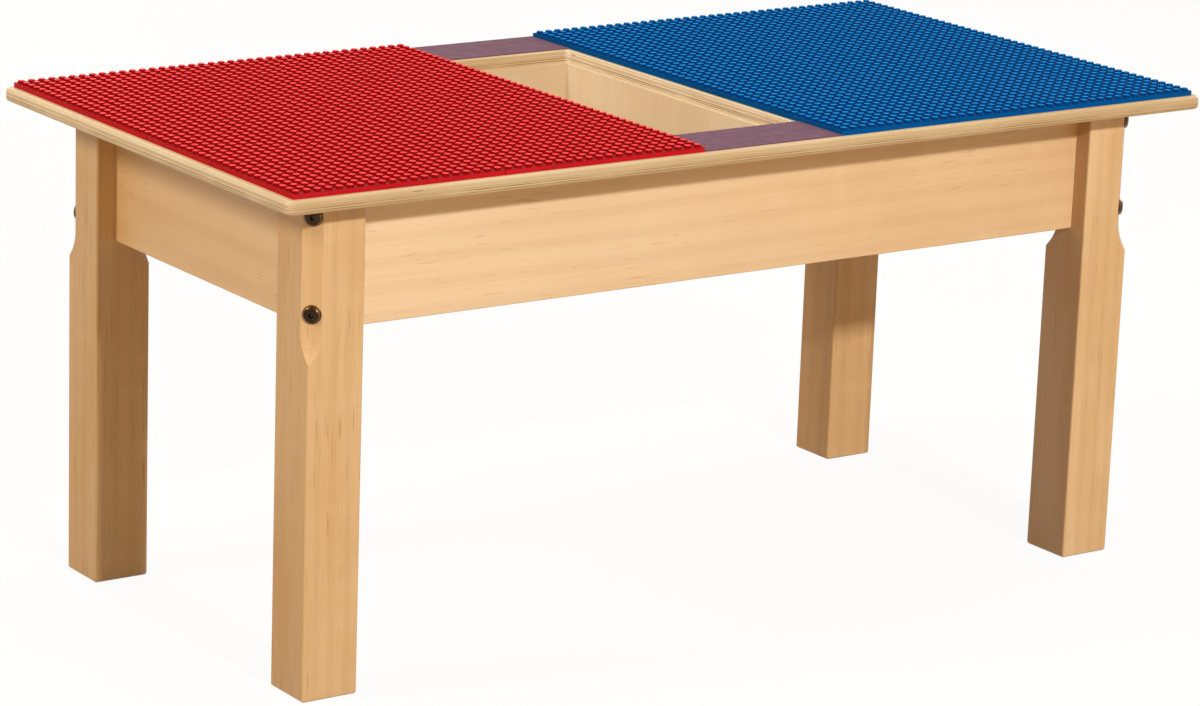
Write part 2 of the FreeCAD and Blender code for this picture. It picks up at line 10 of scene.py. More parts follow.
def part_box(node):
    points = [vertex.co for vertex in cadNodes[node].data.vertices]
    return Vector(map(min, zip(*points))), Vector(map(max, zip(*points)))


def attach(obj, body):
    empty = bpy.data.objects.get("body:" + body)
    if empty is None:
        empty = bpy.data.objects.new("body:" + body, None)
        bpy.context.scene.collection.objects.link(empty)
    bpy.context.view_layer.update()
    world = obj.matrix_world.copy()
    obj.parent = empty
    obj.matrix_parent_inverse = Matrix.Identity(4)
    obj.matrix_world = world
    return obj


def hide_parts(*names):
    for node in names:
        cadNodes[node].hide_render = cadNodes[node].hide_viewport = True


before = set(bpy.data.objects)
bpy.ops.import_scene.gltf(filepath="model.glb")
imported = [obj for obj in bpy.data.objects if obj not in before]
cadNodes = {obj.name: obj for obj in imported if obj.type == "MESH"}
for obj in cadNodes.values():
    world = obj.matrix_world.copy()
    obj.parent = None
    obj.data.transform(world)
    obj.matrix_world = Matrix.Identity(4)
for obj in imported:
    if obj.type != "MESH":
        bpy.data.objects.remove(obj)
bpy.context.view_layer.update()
mm = 0.001
print("frame:", len(cadNodes), "pieces")


def srgb(code):  # "#rrggbb" to the linear colour that sockets take
    parts = [int(code[i:i + 2], 16) / 255 for i in (1, 3, 5)]
    return tuple(c / 12.92 if c <= 0.04045 else ((c + 0.055) / 1.055) ** 2.4 for c in parts) + (1.0,)


def addNode(tree, kind, inputs=None, **settings):  # one node with its settings, its values and its links
    node = tree.nodes.new(kind)
    for name, value in settings.items():
        setattr(node, name, value)
    for key, value in (inputs or {}).items():
        named = [socket for socket in node.inputs if socket.enabled and socket.name == key]
        socket = named[0] if named else node.inputs[key]
        for source in value if isinstance(value, list) else [value]:  # a list holds several links
            if isinstance(source, bpy.types.Node):
                source = next(output for output in source.outputs if output.enabled)
            if isinstance(source, bpy.types.NodeSocket):
                tree.links.new(source, socket)
            else:
                socket.default_value = source
    return node


noiseSpan = {"From Min": 0.3, "From Max": 0.7}  # nearly all the values of a noise layer
edgeWearAndSheen = {"flat": 0.995, "arris": 0.85, "samples": 4}  # cosines between the softened and the plain normal


def startFinish(name, turn=(0, 0, 0)):  # an empty material, turned to the stock's own axes
    material = bpy.data.materials.new(name)
    material.use_nodes = True
    material.node_tree.nodes.clear()
    add = functools.partial(addNode, material.node_tree)
    coords = add("ShaderNodeTexCoord")
    place = add("ShaderNodeMapping", {"Vector": coords.outputs["Object"], "Rotation": turn})
    facing = add("ShaderNodeMapping", {"Vector": coords.outputs["Normal"], "Rotation": turn})
    height = add("ShaderNodeSeparateXYZ", {0: coords.outputs["Object"]}).outputs[2]  # above the floor
    layers = {"height": height}
    return SimpleNamespace(material=material, add=add, place=place, facing=facing, layers=layers)


def addGrains(work, grains):  # a layer of noise for each grain
    for layer, (sizes, detail) in grains.items():
        scale = [1 / (size * mm) for size in sizes]
        cell = work.add("ShaderNodeMapping", {"Vector": work.place, "Scale": tuple(scale)})
        work.layers[layer] = work.add("ShaderNodeTexNoise", {
            "Vector": cell, "Scale": 1.0, "Detail": detail})


def addEdges(work, radius):  # a layer that is 1 along an arris and 0 on the flat; the paler arrises drawn with it are partly wear and partly painted highlight
    soft = work.add("ShaderNodeBevel", {"Radius": radius * mm}, samples=edgeWearAndSheen["samples"])
    plain = work.add("ShaderNodeNewGeometry").outputs["Normal"]
    along = work.add("ShaderNodeVectorMath", {0: soft, 1: plain}, operation="DOT_PRODUCT")
    work.layers["edges"] = work.add("ShaderNodeMapRange", {
        "Value": along.outputs["Value"], "From Min": edgeWearAndSheen["flat"], "From Max": edgeWearAndSheen["arris"],
    }, interpolation_type="SMOOTHSTEP")


def closeFinish(work, look):  # stains over the base colour, then roughness, relief and the shader
    tone = srgb(look["base"])
    for layer, low, high, show, colour in look["stains"]:
        share = work.add("ShaderNodeMapRange", {
            "Value": work.layers[layer], "From Min": low, "From Max": high, "To Max": show,
        }, interpolation_type="SMOOTHSTEP")
        tone = work.add("ShaderNodeMix", {"Factor": share, "A": tone, "B": srgb(colour)}, data_type="RGBA")
    layer, smooth, rough = look["roughness"]
    dull = work.add("ShaderNodeMapRange", noiseSpan | {
        "Value": work.layers[layer], "To Min": smooth, "To Max": rough})
    layer, strength, depth = look["relief"]
    bump = work.add("ShaderNodeBump", {
        "Strength": strength, "Distance": depth * mm, "Height": work.layers[layer]})
    surface = {"Base Color": tone, "Roughness": dull, "Normal": bump}
    shader = work.add("ShaderNodeBsdfPrincipled", surface | look["shader"])
    work.add("ShaderNodeOutputMaterial", {"Surface": shader})
    return work.material


def paint(material, *names):  # a finish on the slots of construction pieces
    for name in names:
        for slot in cadNodes[name].material_slots:
            slot.material = material


# How the finishes below are written, with sizes in mm and places in metres:
# a grain is its cell size along, across and through the stock, then its detail;
# a stain is its layer, the range over which it sets in, its greatest share and its colour.

# Maple, planed and sanded under a clear satin lacquer: honey tone, faint rings and curl, short flecks.
# The fibre of real maple is too fine to show, so it is drawn coarser.
apronMaple = {
    "base": "#e2bf93", "edgeRadius": 1.6, "fleckGather": 0.4,
    "ringWidth": 16.0, "ringStretch": 0.08, "pith": (0.0, 0.12, 0.084), "lean": (0.0, 0.03, 0.02),
    "ringNoise": {"Distortion": 9.0, "Detail": 3.0, "Detail Scale": 0.35, "Detail Roughness": 0.5},
    "grains": {
        "blotch": ((170, 48, 48), 2.0), "curl": ((18, 46, 46), 3.0), "fibre": ((110, 1.8, 1.8), 3.0),
        "flecks": ((18, 1.3, 1.3), 0.5), "clusters": ((130, 26, 26), 1.0), "spots": ((16, 10, 10), 0.0),
    },
    "stains": [
        # The length stain is a painted sheen: an apron grows paler towards the left end of a long apron and
        # the front end of a short one.
        ("blotch", 0.36, 0.66, 0.70, "#d9b282"), ("length", 0.27, -0.35, 0.60, "#f4dab8"),
        ("curl", 0.46, 0.78, 0.14, "#f2dcba"), ("rings", 0.35, 1.00, 0.12, "#bd9160"),
        ("fibre", 0.48, 0.78, 0.12, "#c0925f"), ("flecks", 0.93, 1.02, 0.22, "#96704a"),
        ("spots", 0.85, 0.89, 0.30, "#a8825a"), ("edges", 0.0, 1.0, 0.25, "#f4dcb8"),
        ("cutEnd", 0.75, 0.95, 0.60, "#b98c58"),
    ],
    "roughness": ("blotch", 0.36, 0.52), "relief": ("fibre", 0.25, 0.1), "shader": {"IOR": 1.5},
}
paintedBinFaceShade = [("front", -0.5, -0.9, 0.5, "#b8a78a")]  # painted shade on the face that closes the bin
rearApronMaple = apronMaple | {"stains": apronMaple["stains"] + paintedBinFaceShade}
legMaple = apronMaple | {
    "ringWidth": 11.0, "lean": (0.0, 0.05, 0.03),
    "grains": apronMaple["grains"] | {"fibre": ((70, 1.5, 1.5), 3.5), "flecks": ((34, 1.3, 1.3), 0.5)},
    "stains": [
        ("blotch", 0.36, 0.66, 0.60, "#cfa570"), ("curl", 0.50, 0.74, 0.15, "#e6cba2"),
        ("rings", 0.30, 1.00, 0.14, "#b3844f"), ("fibre", 0.48, 0.78, 0.24, "#b3824e"),
        ("flecks", 0.89, 1.02, 0.42, "#96622e"), ("edges", 0.0, 1.0, 0.35, "#efd3a8"),
        ("cutEnd", 0.75, 0.95, 0.60, "#b48450"),
    ],
}
legTones = {  # base colour, partly the wood's own and partly painted light that evens out how the lamps reach each leg, and the share of painted shade on the two faces that face along x
    "leg_front_left": ("#dab585", 0.0), "leg_front_right": ("#e5c193", 0.45),
    "leg_rear_left": ("#d4b080", 0.0), "leg_rear_right": ("#e0b581", 0.12),
}
# Hidden blocks and cleats in planed pine and dowels in beech, unlacquered: duller, with plainer rings
blockWood = apronMaple | {
    "base": "#d9b988", "ringWidth": 6.5, "pith": (0.0, 0.06, 0.05),
    "stains": [
        ("blotch", 0.36, 0.66, 0.80, "#c9a26c"), ("rings", 0.30, 1.00, 0.40, "#a9794a"),
        ("fibre", 0.44, 0.74, 0.36, "#b38753"), ("flecks", 0.84, 0.94, 0.40, "#7d5731"),
        ("edges", 0.0, 1.0, 0.30, "#e6cda2"), ("cutEnd", 0.75, 0.95, 0.60, "#a9804f"),
    ],
    "roughness": ("blotch", 0.55, 0.75),
}
grainTurns = {  # turns that bring the grain to local x
    "X": (0, 0, 0), "Y": (0, 0, -math.pi / 2), "Z": (0, math.pi / 2, 0),
    "falling": (0, 0, math.pi / 4), "rising": (0, 0, -math.pi / 4),
}
ringBeat = 2 * math.pi / 20  # spacing in metres of the ring texture at scale 1


def solidWood(name, look, turn):
    work = startFinish(name, turn)
    addGrains(work, look["grains"])
    addEdges(work, look["edgeRadius"])
    log = work.add("ShaderNodeMapping", {
        "Vector": work.place, "Location": look["pith"], "Rotation": look["lean"],
        "Scale": (look["ringStretch"], 1, 1)})
    rings = work.add("ShaderNodeTexWave", {
        "Vector": log, "Scale": ringBeat / (look["ringWidth"] * mm),
    } | look["ringNoise"], wave_type="RINGS", rings_direction="X", wave_profile="SIN")
    work.layers["rings"] = rings.outputs[1]
    # position along the grain, used for the painted sheen along each apron
    work.layers["length"] = work.add("ShaderNodeSeparateXYZ", {0: work.place}).outputs[0]
    work.layers["flecks"] = work.add("ShaderNodeMath", {  # flecks gather in clusters
        0: work.layers["clusters"], 1: look["fleckGather"], 2: work.layers["flecks"],
    }, operation="MULTIPLY_ADD")
    sides = work.add("ShaderNodeSeparateXYZ", {0: work.facing}).outputs
    work.layers["front"] = sides[1]  # -1 on the front of a board that runs along x
    for layer, side in (("cutEnd", sides[0]), ("paintedSideShade", sides[2])):
        work.layers[layer] = work.add("ShaderNodeMath", {0: side}, operation="ABSOLUTE")
    return closeFinish(work, look)


# Birch plywood: crossed plies, with uneven dark glue lines on cut edges and rotary-cut veneer on the faces.
# The grain of the veneer is too fine to show, so it is drawn coarser.
# A glue line is its height as a share of the sheet, and how strongly it shows.
topPly = {
    "base": "#cdb58f", "edgeRadius": 1.2, "plies": 7, "glueWidth": 0.055, "sway": 0.06, "endStreak": 0.58,
    "glueLines": ((0.12, 0.30), (0.24, 0.90), (0.40, 1.00), (0.56, 0.45), (0.72, 0.20), (0.88, 0.25)),
    "glueFade": {"From Min": 0.35, "From Max": 0.6, "To Min": 0.35},  # the lines are weaker in places
    "cutEdge": {"From Min": 0.9, "From Max": 0.5},  # how far a face is turned from the sheet's own
    "edgeLightSpread": {"From Min": 0.20, "From Max": 0.10, "To Min": 0.55},  # painted light on cut edges that face along x, strongest near the middle of the table
    "grains": {
        "blotch": ((140, 70, 70), 2.0), "wave": ((110, 110, 40), 1.5), "faint": ((40, 40, 9), 3.0),
        "alongX": ((60, 1.6, 1.6), 3.5), "alongY": ((1.6, 60, 1.6), 3.5), "voids": ((16, 16, 1.2), 0.5),
    },
    "stains": [
        # The pale stain on cut edges facing along x is painted light, strongest in the cut-out.
        ("blotch", 0.36, 0.66, 0.70, "#c0a176"), ("paintedEdgeLight", 0.0, 1.0, 0.95, "#fff2dc"),
        ("streak", 0.46, 0.76, 0.40, "#b8925f"), ("cutAcross", 0.30, 0.90, 0.35, "#bd9a68"),
        ("glue", 0.05, 0.80, 0.85, "#84602f"), ("voids", 0.75, 0.80, 0.70, "#5a3f22"),
        ("edges", 0.0, 1.0, 0.25, "#e9d8b6"),
    ],
    "roughness": ("streak", 0.38, 0.56), "relief": ("streak", 0.25, 0.12), "shader": {"IOR": 1.5},
}
binPly = topPly | {
    "base": "#f0e0ca",
    "stains": [
        ("blotch", 0.36, 0.66, 0.60, "#e4cdad"), ("streak", 0.46, 0.76, 0.18, "#cba985"),
        ("cutAcross", 0.30, 0.90, 0.40, "#d4b78e"), ("glue", 0.05, 1.00, 0.60, "#9a7445"),
        ("voids", 0.76, 0.81, 0.60, "#5a3f22"), ("edges", 0.0, 1.0, 0.40, "#f6ebd8"),
    ],
}
paintedBinDepthShade = [("height", 0.337, 0.270, 0.75, "#b9ab8b")]  # painted shade: the walls are darker low down in the bin
binWallPly = binPly | {"stains": binPly["stains"] + paintedBinDepthShade}
sheetTurns = {"flat": (0, 0, 0), "upright": (0, -math.pi / 2, 0)}  # bring the sheet's thickness to local z


def plywood(name, look, turn, underside, upside):
    work = startFinish(name, turn)
    add = work.add
    addGrains(work, look["grains"])
    addEdges(work, look["edgeRadius"])
    across, _, through = add("ShaderNodeSeparateXYZ", {0: work.place}).outputs
    level = add("ShaderNodeMapRange", {
        "Value": through, "From Min": underside, "From Max": upside}, clamp=False)
    sway = add("ShaderNodeMath", {
        0: work.layers["wave"], 1: look["sway"], 2: -look["sway"] / 2}, operation="MULTIPLY_ADD")
    level = add("ShaderNodeMath", {0: level, 1: sway}, operation="ADD", use_clamp=True)
    glue = 0.0
    for share, strength in look["glueLines"]:
        off = add("ShaderNodeMath", {0: level, 1: share}, operation="SUBTRACT")
        near = add("ShaderNodeMath", {0: off}, operation="ABSOLUTE")
        line = add("ShaderNodeMapRange", {
            "Value": near, "From Min": look["glueWidth"], "From Max": 0.0, "To Max": strength,
        }, interpolation_type="SMOOTHSTEP")
        glue = add("ShaderNodeMath", {0: line, 1: glue}, operation="MAXIMUM")
    patchy = add("ShaderNodeMapRange", {"Value": work.layers["faint"]} | look["glueFade"])
    glue = add("ShaderNodeMath", {0: glue, 1: patchy}, operation="MULTIPLY")
    lastPly = look["plies"] - 0.01  # just short of the count, so that the upper face is in the last ply
    plyCount = add("ShaderNodeMath", {0: level, 1: lastPly}, operation="MULTIPLY")
    ply = add("ShaderNodeMath", {0: plyCount}, operation="FLOOR")
    crossed = add("ShaderNodeMath", {0: ply, 1: 2.0}, operation="FLOORED_MODULO")  # 0 along x, 1 along y
    sides = add("ShaderNodeSeparateXYZ", {0: work.facing}).outputs
    squareX, squareY, squareZ = [add("ShaderNodeMath", {0: side}, operation="ABSOLUTE") for side in sides]
    onEdge = add("ShaderNodeMapRange", {"Value": squareZ} | look["cutEdge"])
    outward = add("ShaderNodeMath", {0: across}, operation="ABSOLUTE")
    litTowardsMiddle = add("ShaderNodeMapRange", {"Value": outward} | look["edgeLightSpread"])  # painted light, most in the cut-out
    work.layers["paintedEdgeLight"] = add("ShaderNodeMath", {0: litTowardsMiddle, 1: squareX}, operation="MULTIPLY")
    cutAcross = add("ShaderNodeMix", {"Factor": crossed, "A": squareX, "B": squareY})
    streak = add("ShaderNodeMix", {
        "Factor": crossed, "A": work.layers["alongX"], "B": work.layers["alongY"]})
    work.layers["cutAcross"] = cutAcross
    work.layers["streak"] = add("ShaderNodeMix", {  # end grain is even
        "Factor": cutAcross, "A": streak, "B": look["endStreak"]})
    for layer, pattern in (("glue", glue), ("voids", work.layers["voids"])):
        work.layers[layer] = add("ShaderNodeMath", {0: pattern, 1: onEdge}, operation="MULTIPLY")
    return closeFinish(work, look)


for legName, (tone, paintedSideShade) in legTones.items():
    # the darker stain on the faces that face along x is painted shade
    legStains = legMaple["stains"] + [("paintedSideShade", 0.5, 0.9, paintedSideShade, "#8a5a2a")]
    legLook = legMaple | {"base": tone, "stains": legStains}
    paint(solidWood("maple_" + legName, legLook, grainTurns["Z"]), legName)
paint(solidWood("maple_front_apron", apronMaple, grainTurns["X"]), "front_apron")
paint(solidWood("maple_rear_apron", rearApronMaple, grainTurns["X"]), "rear_apron")
paint(solidWood("maple_end_aprons", apronMaple, grainTurns["Y"]), "left_apron", "right_apron")
fallingBlocks = ("corner_block_front_left", "corner_block_rear_right")
risingBlocks = ("corner_block_front_right", "corner_block_rear_left")
paint(solidWood("planed_blocks_falling", blockWood, grainTurns["falling"]), *fallingBlocks)
paint(solidWood("planed_blocks_rising", blockWood, grainTurns["rising"]), *risingBlocks)
cleatNames = [name for name in cadNodes if name.startswith("top_cleat_")]
paint(solidWood("planed_cleats", blockWood, grainTurns["X"]), *cleatNames)
paint(solidWood("beech_dowels", blockWood, grainTurns["Y"]), "bin_dowels")
plySheets = {  # finish and the way a sheet stands
    "tabletop": (topPly, "flat"), "bin_floor": (binPly, "flat"),
    "bin_left_wall": (binWallPly, "upright"), "bin_right_wall": (binWallPly, "upright"),
}
for sheetName, (sheetLook, stance) in plySheets.items():
    low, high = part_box(sheetName)
    axis = 2 if stance == "flat" else 0
    finishName = "birch_plywood_" + sheetName
    paint(plywood(finishName, sheetLook, sheetTurns[stance], low[axis], high[axis]), sheetName)
print("wood finishes set")


# Decor laminate strips between the halves: matt, printed mauve with a fine mottle, left bare.
# Its tooth is too fine to show, so it is drawn coarser.
trimStrip = {
    "base": "#6b495b", "edgeRadius": 0.4,
    "grains": {"mottle": ((9, 9, 9), 4.0), "tooth": ((0.9, 0.9, 0.9), 2.0)},
    "stains": [
        ("mottle", 0.36, 0.64, 0.80, "#644356"), ("tooth", 0.50, 0.75, 0.30, "#7d586a"),
        ("edges", 0.0, 1.0, 0.35, "#8d6a7a"),
    ],
    "roughness": ("mottle", 0.6, 0.75), "relief": ("tooth", 0.2, 0.04),
    "shader": {"IOR": 1.5, "Specular IOR Level": 0.15},
}


def decorLaminate(name, look):
    work = startFinish(name)
    addGrains(work, look["grains"])
    addEdges(work, look["edgeRadius"])
    return closeFinish(work, look)


paint(decorLaminate("mauve_laminate", trimStrip), "front_trim_strip", "rear_trim_strip")

# Steel fixings: bolts plated a dark antique bronze, paler on their rims as rubbed wear and a painted
# highlight, with painted shade black in their sockets, and hidden ones zinc plated, bright and a little
# cloudy
bolts = {
    "base": "#2e1f10", "edgeRadius": 0.5, "hollowReach": 2.0, "grains": {"cloud": ((6, 6, 6), 2.0)},
    "stains": [
        ("cloud", 0.40, 0.68, 0.6, "#45301a"), ("paintedRimHighlight", 1.20, 0.90, 0.75, "#8a6332"),
        ("edges", 0.0, 1.0, 0.40, "#a88456"), ("paintedSocketShade", 0.85, 0.35, 0.95, "#0a0603"),
    ],
    "roughness": ("cloud", 0.22, 0.32), "relief": ("cloud", 0.10, 0.02),
    "shader": {"Metallic": 1.0, "Coat Weight": 0.15, "Coat Roughness": 0.12},
}
fixings = bolts | {
    "base": "#8d9094",
    "stains": [("cloud", 0.40, 0.68, 1.0, "#b4b5b0"), ("edges", 0.0, 1.0, 0.70, "#d6d7d4")],
    "roughness": ("cloud", 0.25, 0.45), "shader": {"Metallic": 1.0},
}


def platedSteel(name, look):
    work = startFinish(name)
    addGrains(work, look["grains"])
    addEdges(work, look["edgeRadius"])
    # painted shade in the sockets, from ambient occlusion
    shade = work.add("ShaderNodeAmbientOcclusion", {"Distance": look["hollowReach"] * mm})
    work.layers["paintedSocketShade"] = shade.outputs["AO"]
    sides = work.add("ShaderNodeSeparateXYZ", {0: work.facing}).outputs
    lengthwise, sideways = [
        work.add("ShaderNodeMath", {0: side}, operation="ABSOLUTE") for side in sides[:2]]
    work.layers["paintedRimHighlight"] = work.add("ShaderNodeMath", {  # most on a head's face, which looks towards a corner of the table, and less on its rim, where the painted highlight goes
        0: lengthwise, 1: sideways}, operation="ADD")
    return closeFinish(work, look)


paint(platedSteel("bronzed_steel", bolts), "leg_bolts")
zincNames = (
    "bolt_washers", "bolt_nuts", "corner_block_screws",
    "cleat_apron_screws", "cleat_top_screws", "bin_floor_screws",
)
paint(platedSteel("zinc_plated_steel", fixings), *zincNames)
print("laminate and steel finishes set")


# Stud plates in moulded ABS: a thin sheet with rows of round studs, each with a small eased rim.
# The stud tops carry a painted highlight, and the sheet and the sides of the studs a painted shade.
# The grit of the mould is too fine to show, so it is drawn coarser.
studPlate = {
    "pitch": 8.0, "studDiameter": 4.9, "studHeight": 1.8, "studSides": 14, "sheetThickness": 3.2,
    "arris": 0.25, "cornerRadius": 1.0, "cornerSteps": 4, "weld": 0.001,
    "sharpAngle": 35.0,  # degrees, where the rest is in mm
}
redPlastic = {
    "base": "#bd161e", "grains": {"flow": ((60, 60, 60), 2.0), "grit": ((1.4, 1.4, 1.4), 3.0)},
    "stains": [
        # The height stain is painted shade over the sheet and the studs, and the crown stain a painted
        # highlight on the stud tops.
        ("flow", 0.36, 0.66, 0.40, "#a40e16"), ("height", -0.15, -0.02, 0.90, "#8c0308"),
        ("crown", 0.50, 0.95, 0.95, "#fd3f43"), ("grit", 0.55, 0.75, 0.15, "#e63e44"),
    ],
    "roughness": ("grit", 0.46, 0.60), "relief": ("grit", 0.12, 0.03),
    "shader": {"IOR": 1.54, "Specular IOR Level": 0.05},
}
bluePlastic = redPlastic | {
    "base": "#005297",
    "stains": [
        # As on the red plates: painted shade from the height stain, a painted highlight from the crown
        # stain.
        ("flow", 0.36, 0.66, 0.40, "#004680"), ("height", -0.15, -0.02, 0.85, "#003c7a"),
        ("crown", 0.50, 0.95, 0.85, "#0088da"), ("grit", 0.55, 0.75, 0.12, "#0074be"),
    ],
    "shader": {"IOR": 1.54, "Specular IOR Level": 0.015},
}


def mouldedPlastic(name, look, sheetTop, studTop):
    work = startFinish(name)
    addGrains(work, look["grains"])
    level = work.add("ShaderNodeSeparateXYZ", {0: work.place}).outputs[2]
    height = work.add("ShaderNodeMapRange", {  # 0 on the sheet, 1 on the studs, less on the sheet's edges
        "Value": level, "From Min": sheetTop, "From Max": studTop}, clamp=False)
    upward = work.add("ShaderNodeSeparateXYZ", {0: work.facing}).outputs[2]
    work.layers["height"] = height
    # faces turned up on the studs, where the painted highlight goes
    work.layers["crown"] = work.add("ShaderNodeMath", {0: height, 1: upward}, operation="MULTIPLY")
    return closeFinish(work, look)


def easedSlab(add, outline, height, arris, shrink, up):  # closed slab on a flat outline, upper rim eased
    rise = add("ShaderNodeMath", {0: height, 1: arris}, operation="SUBTRACT")
    walls = add("GeometryNodeExtrudeMesh", {
        "Mesh": outline, "Offset": up, "Offset Scale": rise, "Individual": False})
    rim = add("GeometryNodeExtrudeMesh", {
        "Mesh": walls, "Selection": walls.outputs["Top"],
        "Offset": up, "Offset Scale": arris, "Individual": False})
    crown = add("GeometryNodeScaleElements", {
        "Geometry": rim, "Selection": rim.outputs["Top"], "Scale": shrink})
    base = add("GeometryNodeFlipFaces", {"Mesh": outline})
    both = add("GeometryNodeJoinGeometry", {"Geometry": [crown, base]})
    return add("GeometryNodeMergeByDistance", {"Geometry": both, "Distance": studPlate["weld"] * mm})


def studPlateTree():
    tree = bpy.data.node_groups.new("studPlateNodes", "GeometryNodeTree")
    sockets = {
        "Length": "Float", "Width": "Float", "Columns": "Int", "Rows": "Int", "Pitch": "Float",
        "Stud radius": "Float", "Stud height": "Float", "Stud sides": "Int", "Sheet thickness": "Float",
        "Arris": "Float", "Corner radius": "Float", "Corner steps": "Int", "Place": "Vector",
        "Plastic": "Material",
    }
    for name, kind in sockets.items():
        tree.interface.new_socket(name=name, in_out="INPUT", socket_type="NodeSocket" + kind)
    tree.interface.new_socket(name="Plate", in_out="OUTPUT", socket_type="NodeSocketGeometry")
    add = functools.partial(addNode, tree)
    given = add("NodeGroupInput").outputs
    up = add("FunctionNodeInputVector", vector=(0, 0, 1))
    shrinks = []
    for half in (given["Length"], given["Stud radius"]):  # the eased rims of the sheet and of a stud
        share = add("ShaderNodeMath", {0: given["Arris"], 1: half}, operation="DIVIDE")
        shrinks.append(add("ShaderNodeMath", {0: 1.0, 1: share}, operation="SUBTRACT"))
    spans = []
    for count in ("Columns", "Rows"):
        steps = add("ShaderNodeMath", {0: given[count], 1: 1.0}, operation="SUBTRACT")
        spans.append(add("ShaderNodeMath", {0: steps, 1: given["Pitch"]}, operation="MULTIPLY"))

    rectangle = add("GeometryNodeCurvePrimitiveQuadrilateral", {
        "Width": given["Length"], "Height": given["Width"]})
    rounded = add("GeometryNodeFilletCurve", {
        "Curve": rectangle, "Radius": given["Corner radius"], "Count": given["Corner steps"]}, mode="POLY")
    outline = add("GeometryNodeFillCurve", {"Curve": rounded}, mode="NGONS")
    sheet = easedSlab(add, outline, given["Sheet thickness"], given["Arris"], shrinks[0], up)
    disc = add("GeometryNodeMeshCircle", {
        "Vertices": given["Stud sides"], "Radius": given["Stud radius"]}, fill_type="NGON")
    stud = easedSlab(add, disc, given["Stud height"], given["Arris"], shrinks[1], up)
    field = add("GeometryNodeMeshGrid", {
        "Size X": spans[0], "Size Y": spans[1],
        "Vertices X": given["Columns"], "Vertices Y": given["Rows"]})
    rows = add("GeometryNodeInstanceOnPoints", {"Points": field, "Instance": stud})
    studFoot = add("ShaderNodeCombineXYZ", {"Z": given["Sheet thickness"]})
    raised = add("GeometryNodeTransform", {"Geometry": rows, "Translation": studFoot})
    whole = add("GeometryNodeJoinGeometry", {"Geometry": [sheet, raised]})
    placed = add("GeometryNodeTransform", {"Geometry": whole, "Translation": given["Place"]})
    real = add("GeometryNodeRealizeInstances", {"Geometry": placed})
    finish = add("GeometryNodeSetMaterial", {"Geometry": real, "Material": given["Plastic"]})
    add("NodeGroupOutput", {"Plate": finish})
    return tree


def treeMesh(name, tree, values):  # runs a node tree once and keeps the result as a plain mesh
    piece = bpy.data.objects.new(name, bpy.data.meshes.new(name))
    bpy.context.scene.collection.objects.link(piece)
    maker = piece.modifiers.new("maker", "NODES")
    maker.node_group = tree
    for socket in tree.interface.items_tree:
        if socket.in_out == "INPUT":
            maker[socket.identifier] = values[socket.name]
    graph = bpy.context.evaluated_depsgraph_get()
    mesh = bpy.data.meshes.new_from_object(piece.evaluated_get(graph))
    piece.modifiers.remove(maker)
    piece.data = mesh
    shell = bmesh.new()
    shell.from_mesh(mesh)
    bmesh.ops.recalc_face_normals(shell, faces=shell.faces)
    shell.to_mesh(mesh)
    shell.free()
    mesh.shade_smooth()
    mesh.set_sharp_from_angle(angle=math.radians(studPlate["sharpAngle"]))
    return piece


plateTree = studPlateTree()
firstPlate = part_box("red_plate_front_outer")
sheetTop = firstPlate[0].z + studPlate["sheetThickness"] * mm
plastics = {
    "red": mouldedPlastic("red_abs", redPlastic, sheetTop, firstPlate[1].z),
    "blue": mouldedPlastic("blue_abs", bluePlastic, sheetTop, firstPlate[1].z),
}
plateNames = sorted(name for name in cadNodes if "_plate_" in name)
for plateName in plateNames:
    low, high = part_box(plateName)
    colour = plateName.split("_")[0]
    size = high - low
    pitch = studPlate["pitch"] * mm
    plate = treeMesh(plateName + "_moulding", plateTree, {
        "Length": size.x, "Width": size.y, "Columns": round(size.x / pitch), "Rows": round(size.y / pitch),
        "Pitch": pitch, "Stud radius": studPlate["studDiameter"] * mm / 2,
        "Stud height": studPlate["studHeight"] * mm, "Stud sides": studPlate["studSides"],
        "Sheet thickness": studPlate["sheetThickness"] * mm, "Arris": studPlate["arris"] * mm,
        "Corner radius": studPlate["cornerRadius"] * mm, "Corner steps": studPlate["cornerSteps"],
        "Place": ((low.x + high.x) / 2, (low.y + high.y) / 2, low.z), "Plastic": plastics[colour],
    })
    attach(plate, "root")
    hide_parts(plateName)
print("stud plates:", len(plateNames))

# Camera matched to the photo: place in metres, turns in degrees, focal length in pixels of the image
camera = {
    "place": (-1.7395, -2.4765, 0.9739), "yaw": 35.026, "pitch": 15.12, "roll": 2.054,
    "focal": 4323.5, "imageWidth": 1200, "sensor": 36.0, "farthest": 50.0,
}


def aimCamera(look):
    lens = bpy.data.cameras.new("photoCamera")
    lens.sensor_width = look["sensor"]
    lens.lens = look["focal"] * look["sensor"] / look["imageWidth"]
    lens.clip_end = look["farthest"]
    eye = bpy.data.objects.new("photoCamera", lens)
    bpy.context.scene.collection.objects.link(eye)
    level = Euler((math.radians(90 - look["pitch"]), 0, -math.radians(look["yaw"]))).to_matrix()
    turn = level @ Matrix.Rotation(math.radians(look["roll"]), 3, "Z")
    eye.matrix_world = Matrix.Translation(look["place"]) @ turn.to_4x4()
    bpy.context.scene.camera = eye


aimCamera(camera)

